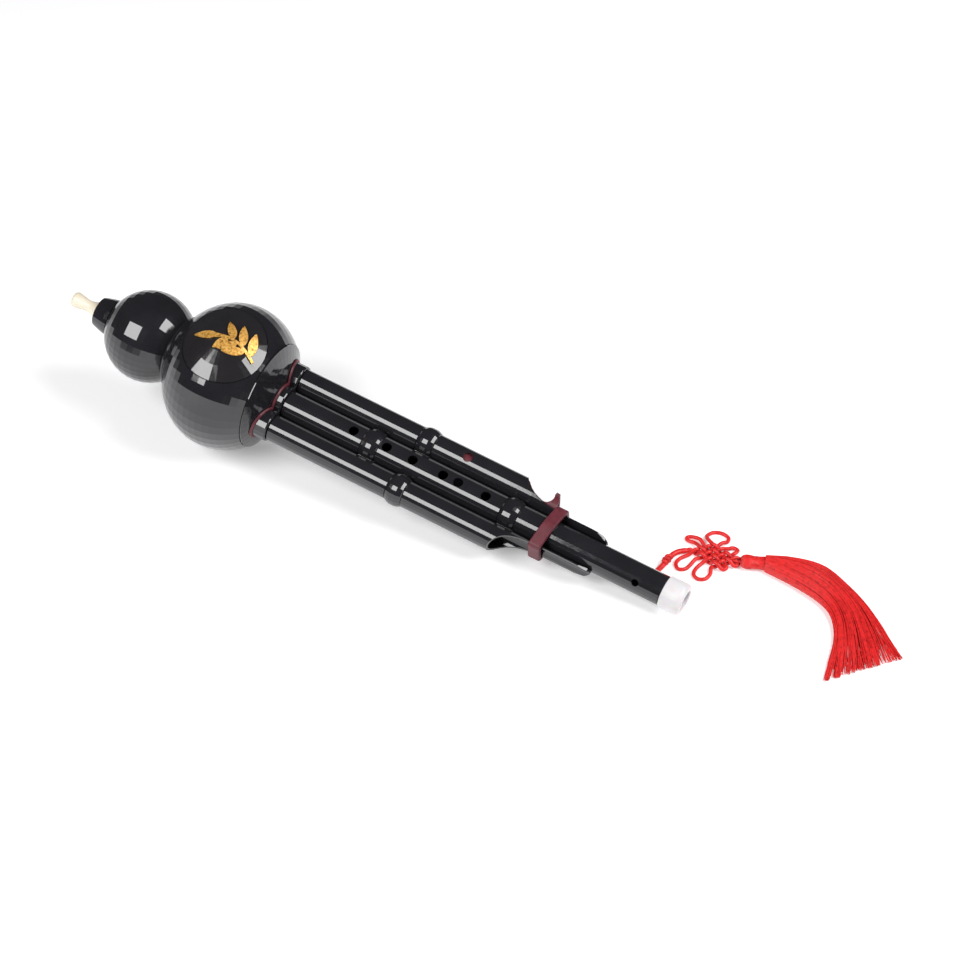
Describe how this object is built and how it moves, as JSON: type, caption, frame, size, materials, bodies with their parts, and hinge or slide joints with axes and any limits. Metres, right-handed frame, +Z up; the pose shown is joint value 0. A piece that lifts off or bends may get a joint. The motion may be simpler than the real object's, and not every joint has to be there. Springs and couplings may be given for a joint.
{
  "type": "gourd flute",
  "caption": "Gourd-shaped free-reed flute with a fingered pipe between drone pipes, slip-on mouthpiece and cap, turning drone sleeve, binding band and knotted tassel.",
  "frame": {"origin": "middle of the bottom of the instrument, without cord and tassel, as it lies on a table", "axes": "+X along the instrument from mouthpiece to end cap, level with the table; +Z up; +Y to the left drone side"},
  "size_m": [0.5138, 0.112, 0.0872],
  "materials": {
    "black_bakelite": "high gloss",
    "medallion_black": "gloss",
    "maroon_rubber": "matt",
    "maroon_cement": "satin",
    "cream_plastic": "satin",
    "white_plastic": "satin",
    "gilt_paint": "speckled gilt",
    "reed_brass": "bright",
    "plug_resin": "matt",
    "red_silk": "silk sheen"
  },
  "bodies": {
    "flute_body": {"neck_collar": "black_bakelite", "upper_bulb": "black_bakelite", "lower_bulb": "black_bakelite", "medallion_disc": "medallion_black", "medallion_ornament": "gilt_paint", "seat_plate": "black_bakelite", "pipe_holder": "black_bakelite", "seat_cement": "maroon_cement", "main_pipe": "black_bakelite", "drone_left": "black_bakelite", "drone_right": "black_bakelite", "main_reed": "reed_brass", "drone_left_reed": "reed_brass", "drone_right_reed": "reed_brass", "main_head_plug": "plug_resin", "drone_left_head_plug": "plug_resin", "drone_right_head_plug": "plug_resin", "cord": "red_silk", "stopper_knot": "red_silk", "lead_cord": "red_silk", "knot": "red_silk", "tassel_head": "red_silk", "tassel_skirt": "red_silk"},
    "mouthpiece": {"mouthpiece": "cream_plastic"},
    "drone_switch": {"drone_sleeve": "maroon_rubber"},
    "band": {"binding_band": "maroon_rubber"},
    "cap": {"end_cap": "white_plastic"}
  },
  "joints": [
    {"name": "mouthpiece_slide", "type": "slide", "parent": "flute_body", "child": "mouthpiece", "axis": [-0.9931, 0, 0.117], "range_m": [0, 0.012]},
    {"name": "sleeve_turn", "type": "hinge", "parent": "flute_body", "child": "drone_switch", "pos_m": [0.07605, 0.01588, 0.02884], "axis": [0.9931, 0, -0.117], "range_deg": [0, 90]},
    {"name": "band_slide", "type": "slide", "parent": "flute_body", "child": "band", "axis": [0.9931, 0, -0.117], "range_m": [0, 0.024]},
    {"name": "cap_slide", "type": "slide", "parent": "flute_body", "child": "cap", "axis": [0.9931, 0, -0.117], "range_m": [0, 0.01]}
  ]
}
